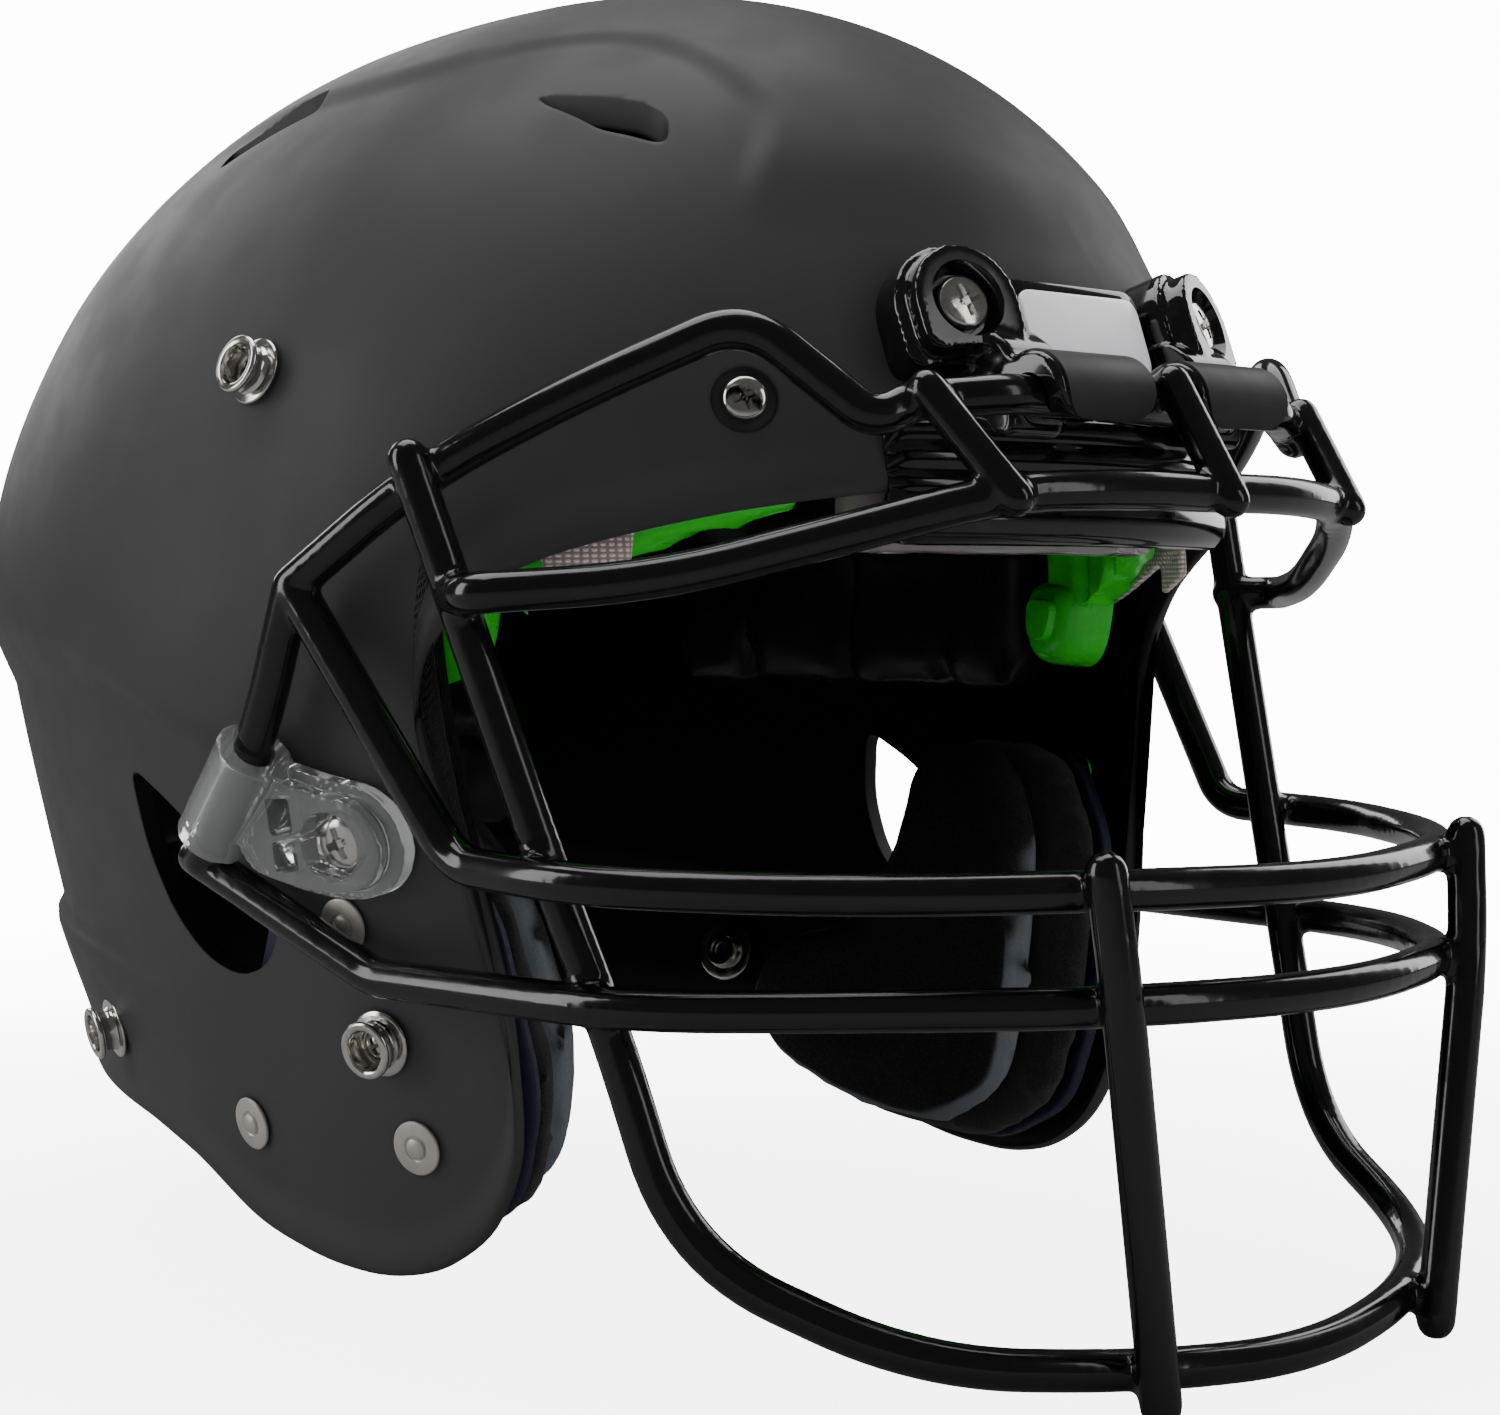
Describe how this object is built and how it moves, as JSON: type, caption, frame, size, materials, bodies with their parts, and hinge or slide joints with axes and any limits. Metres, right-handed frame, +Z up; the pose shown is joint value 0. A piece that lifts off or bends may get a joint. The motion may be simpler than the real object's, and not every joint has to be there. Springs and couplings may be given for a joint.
{
  "type": "american football helmet",
  "caption": "American football helmet: a moulded shell with a swing-up welded wire face guard, removable side screws, snap-in jaw pads and a padded liner.",
  "frame": {"origin": "the middle of the floor plate the helmet stands on: bottom centre of its box, on the middle plane", "axes": "+Z up, the helmet faces -Y, +X is the wearer's left"},
  "size_m": [0.2442, 0.3332, 0.2508],
  "materials": {
    "shell": "satin dark grey moulded polycarbonate",
    "gloss_black": "polished black moulding",
    "coated_steel": "glossy black powder coat on welded steel wire",
    "white": "blank white plate, light gloss",
    "clear": "clear moulded plastic",
    "chrome": "bright plated steel",
    "disc": "dull warm-grey washer face",
    "black_pad": "soft black pad cover",
    "green": "bright green soft cushion",
    "grey_pad": "smoky half-clear bladder cover",
    "foam": "grey closed-cell foam",
    "strip": "pale woven strip"
  },
  "bodies": {
    "shell": {"outer_shell": "shell", "brow_nut_left": "chrome", "brow_nut_right": "chrome", "brow_pad": "grey_pad", "brow_screw_left": "chrome", "brow_screw_right": "chrome", "brow_strip_left": "strip", "brow_strip_right": "strip", "crown_pad": "black_pad", "front_bumper": "gloss_black", "front_snap_stud_left": "chrome", "front_snap_stud_right": "chrome", "front_stud_nut_left": "chrome", "front_stud_nut_right": "chrome", "front_stud_screw_left": "chrome", "front_stud_screw_right": "chrome", "jaw_rivet_clip_left": "disc", "jaw_rivet_clip_right": "disc", "jaw_rivet_front_left": "disc", "jaw_rivet_front_right": "disc", "jaw_rivet_rear_left": "disc", "jaw_rivet_rear_right": "disc", "name_plate": "white", "nape_pad": "black_pad", "rear_snap_stud_left": "chrome", "rear_snap_stud_right": "chrome", "rear_stud_nut_left": "chrome", "rear_stud_nut_right": "chrome", "rear_stud_screw_left": "chrome", "rear_stud_screw_right": "chrome", "side_nut_left": "chrome", "side_nut_right": "chrome", "side_pad_left": "black_pad", "side_pad_right": "black_pad", "temple_cushion_left": "green", "temple_cushion_right": "green", "top_clip_left": "gloss_black", "top_clip_nut_left": "chrome", "top_clip_nut_right": "chrome", "top_clip_right": "gloss_black", "top_clip_screw_left": "chrome", "top_clip_screw_right": "chrome", "upper_snap_stud_left": "chrome", "upper_snap_stud_right": "chrome", "upper_stud_nut_left": "chrome", "upper_stud_nut_right": "chrome", "upper_stud_screw_left": "chrome", "upper_stud_screw_right": "chrome"},
    "guard": {"face_guard": "coated_steel", "side_clip_left": "clear", "side_clip_right": "clear"},
    "side_screw_left": {"side_screw_left": "chrome"},
    "side_screw_right": {"side_screw_right": "chrome"},
    "jaw_pad_left": {"jaw_pad_left": "black_pad", "jaw_foam_left": "foam"},
    "jaw_pad_right": {"jaw_pad_right": "black_pad", "jaw_foam_right": "foam"}
  },
  "joints": [
    {"name": "guard_swing", "type": "hinge", "parent": "shell", "child": "guard", "pos_m": [0, -0.12109, 0.16647], "axis": [-1, 0, 0], "range_deg": [0, 90]},
    {"name": "side_screw_left_slide", "type": "slide", "parent": "shell", "child": "side_screw_left", "axis": [0.9597, -0.2173, -0.1783], "range_m": [0, 0.018]},
    {"name": "side_screw_right_slide", "type": "slide", "parent": "shell", "child": "side_screw_right", "axis": [-0.9597, -0.2173, -0.1783], "range_m": [0, 0.018]},
    {"name": "jaw_pad_left_slide", "type": "slide", "parent": "shell", "child": "jaw_pad_left", "axis": [-1, 0, 0], "range_m": [0, 0.02]},
    {"name": "jaw_pad_right_slide", "type": "slide", "parent": "shell", "child": "jaw_pad_right", "axis": [1, 0, 0], "range_m": [0, 0.02]}
  ]
}
